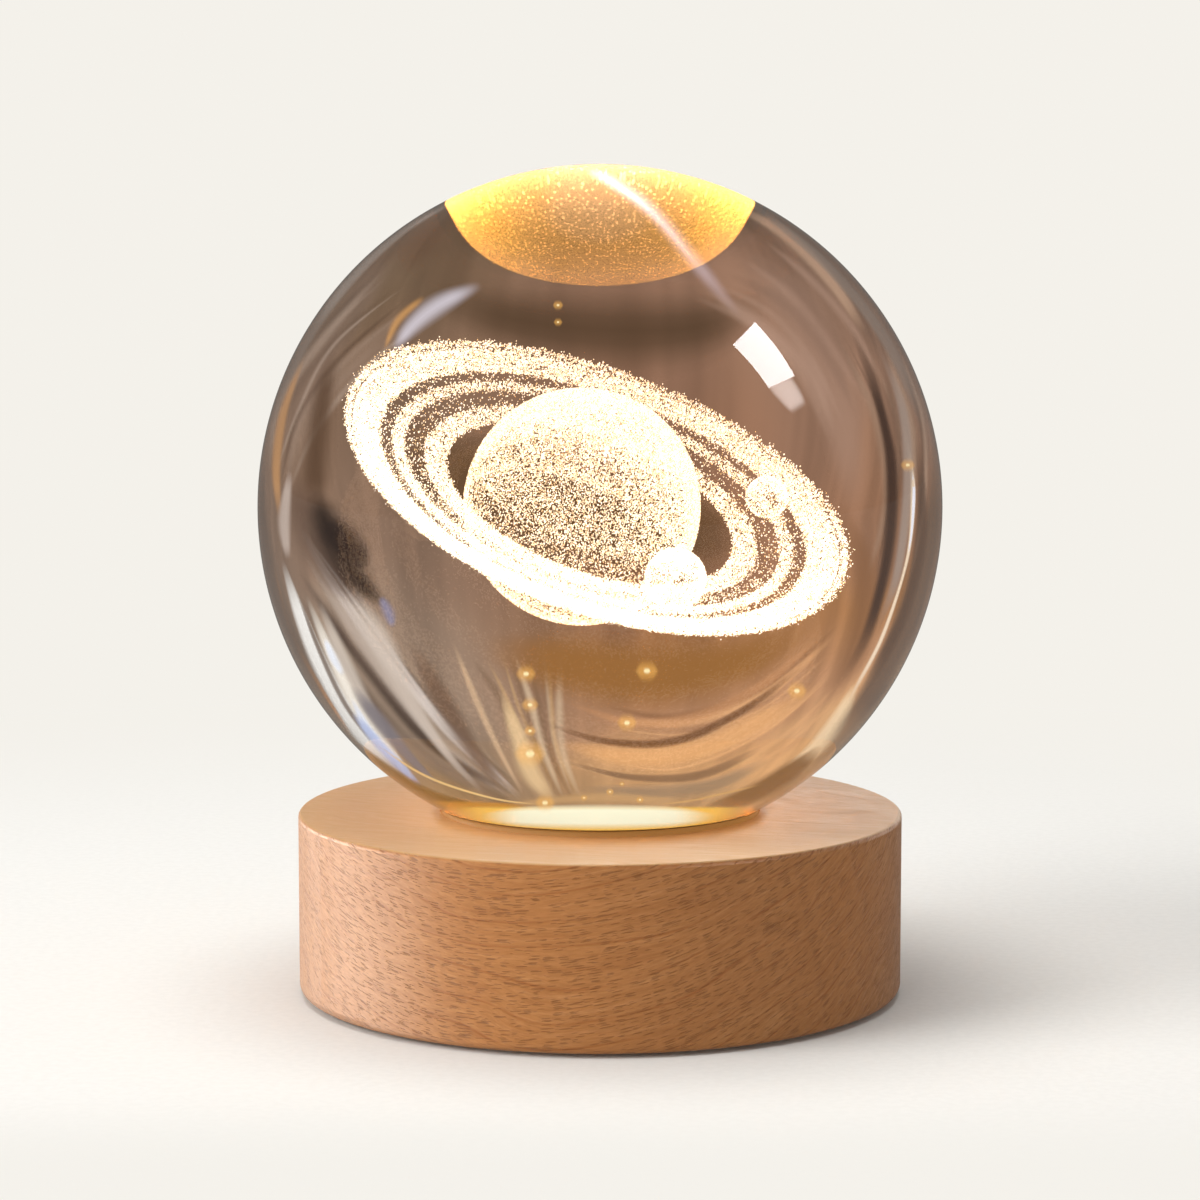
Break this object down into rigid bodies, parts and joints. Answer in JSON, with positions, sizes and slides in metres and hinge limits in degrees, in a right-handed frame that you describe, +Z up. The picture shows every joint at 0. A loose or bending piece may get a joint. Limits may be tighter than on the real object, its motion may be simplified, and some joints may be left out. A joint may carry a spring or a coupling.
{
  "type": "crystal ball lamp",
  "caption": "Glass ball with a laser-engraved ringed planet and moons inside, lit from below by a round turned beech base with a push button and a power socket at the back.",
  "frame": {"origin": "middle of the footprint, at the underside of the feet", "axes": "+Z up along the axis of base and ball, -Y to the front of the engraving, +Y to the socket and button at the back"},
  "size_m": [0.08, 0.08, 0.0974],
  "materials": {
    "beech": "turned beech, clear satin oil",
    "frosted_acrylic": "frosted",
    "white_plastic": "moulded, matte",
    "white_solder_mask": "solder mask",
    "led_housing": "moulded, matte",
    "led_phosphor": "filled silicone",
    "chip_black": "moulded, matte",
    "screw_steel": "zinc plated",
    "black_plastic": "fine texture",
    "rubber": "matte",
    "green_solder_mask": "solder mask",
    "capacitor_tan": "fired ceramic",
    "socket_steel": "satin",
    "button_plastic": "satin",
    "lead_red": "soft sleeve",
    "lead_black": "soft sleeve",
    "solder": "bright",
    "smoky_crystal": "polished, ground flat at the foot",
    "engraving": "fine laser dots"
  },
  "bodies": {
    "base": {"wood_base": "beech", "light_plate": "frosted_acrylic", "reflector_ring": "white_plastic", "led_board": "white_solder_mask", "led_packages": "led_housing", "led_phosphors": "led_phosphor", "led_resistors": "chip_black", "led_board_screws": "screw_steel", "bottom_cover": "black_plastic", "cover_screws": "screw_steel", "rubber_feet": "rubber", "control_board": "green_solder_mask", "control_board_screws": "screw_steel", "control_chip": "chip_black", "control_capacitors": "capacitor_tan", "usb_shell": "socket_steel", "usb_tongue": "black_plastic", "rear_panel": "black_plastic", "switch_body": "black_plastic", "lead_red": "lead_red", "lead_black": "lead_black", "solder_joints": "solder"},
    "ball": {"crystal_ball": "smoky_crystal", "engraved_planet": "engraving", "engraved_moon_large": "engraving", "engraved_moon_small": "engraving", "engraved_ring_inner": "engraving", "engraved_ring_middle": "engraving", "engraved_ring_outer": "engraving"},
    "button": {"push_button": "button_plastic"}
  },
  "joints": [
    {"name": "ball_lift", "type": "slide", "parent": "base", "child": "ball", "axis": [0, 0, 1], "range_m": [0, 0.06]},
    {"name": "button_press", "type": "slide", "parent": "base", "child": "button", "axis": [0, -1, 0], "range_m": [0, 0.0008], "stiffness_N_per_m": 1500}
  ]
}
